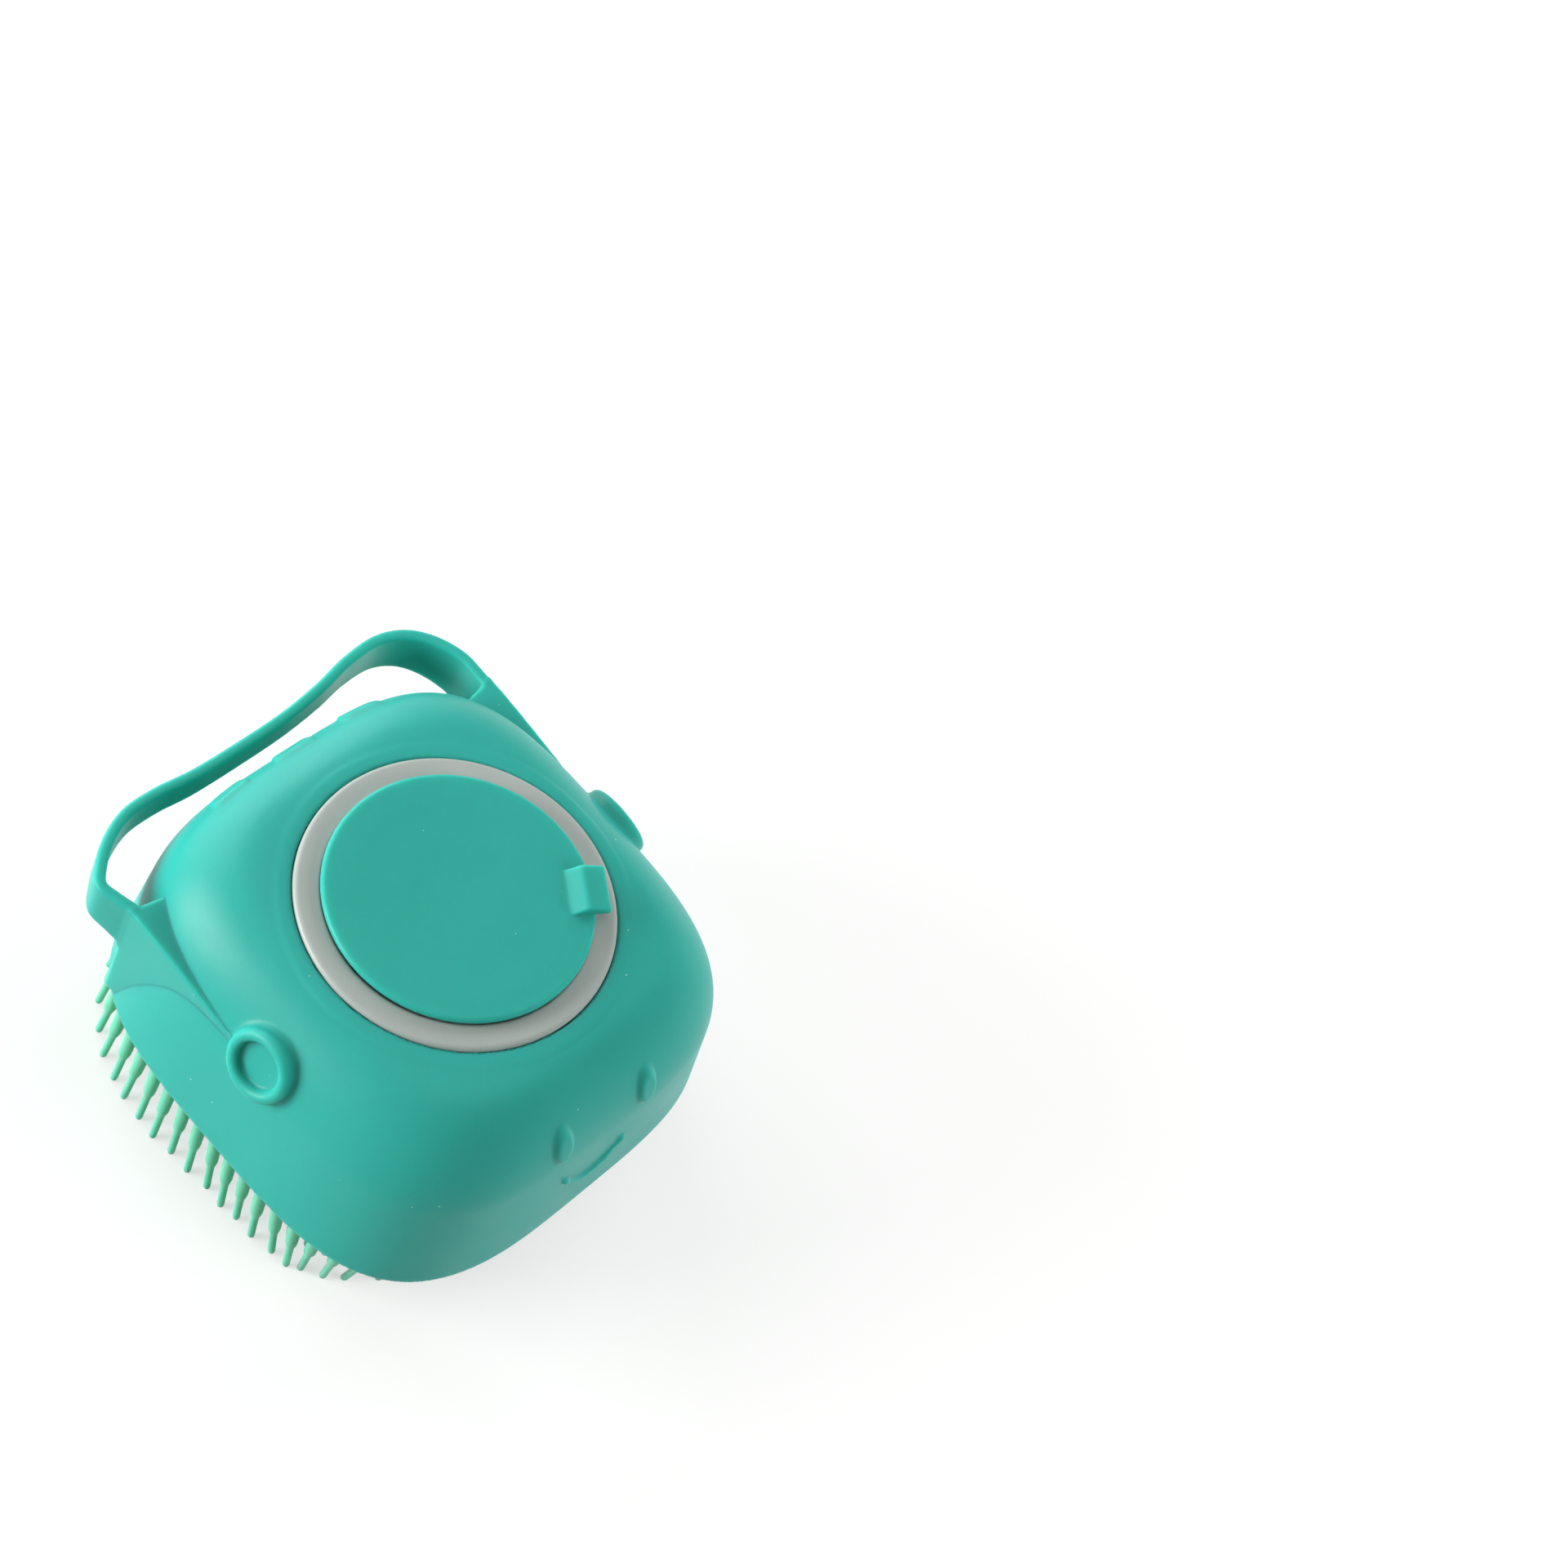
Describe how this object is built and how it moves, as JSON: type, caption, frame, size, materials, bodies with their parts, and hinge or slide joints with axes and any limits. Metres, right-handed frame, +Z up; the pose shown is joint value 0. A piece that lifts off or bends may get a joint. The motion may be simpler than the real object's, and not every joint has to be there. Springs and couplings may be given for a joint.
{
  "type": "silicone bath massage brush with soap chamber",
  "caption": "Rounded-square silicone bath brush with bristles below, a soap chamber inside, a round plastic mouth with a stopper lid, and a hand strap.",
  "frame": {"origin": "middle of the overall footprint, on the plane of the bristle tips", "axes": "+Z up towards the lid, -Y towards the smiling face, +Y towards the hand strap"},
  "size_m": [0.08, 0.0855, 0.0506],
  "materials": {
    "silicone": "satin moulded silicone rubber",
    "mouth_plastic": "satin injection-moulded polypropylene"
  },
  "bodies": {
    "silicone_body": {"body_shell": "silicone", "mouth_diaphragm": "silicone", "bristle_pad": "silicone", "ear_ring_left": "silicone", "ear_ring_right": "silicone", "eye_left": "silicone", "eye_right": "silicone", "smile_ridge": "silicone", "grip_pad_left": "silicone", "grip_pad_middle": "silicone", "grip_pad_right": "silicone", "strap_root_left": "silicone", "strap_root_right": "silicone"},
    "strap": {"hand_strap": "silicone"},
    "mouth": {"collar_ring": "mouth_plastic", "retainer_ring": "mouth_plastic", "spacer_leg_left": "mouth_plastic", "spacer_leg_right": "mouth_plastic"},
    "lid": {"lid_stopper": "silicone", "lid_pull_tab": "silicone"}
  },
  "joints": [
    {"name": "press_mouth", "type": "slide", "parent": "silicone_body", "child": "mouth", "axis": [0, 0, -1], "range_m": [0, 0.004], "stiffness_N_per_m": 2500, "deforming": ["mouth_diaphragm"]},
    {"name": "lid_lift", "type": "slide", "parent": "mouth", "child": "lid", "axis": [0, 0, 1], "range_m": [0, 0.03]},
    {"name": "strap_stretch", "type": "slide", "parent": "silicone_body", "child": "strap", "axis": [0, 1, 0], "range_m": [0, 0.008], "stiffness_N_per_m": 400}
  ]
}
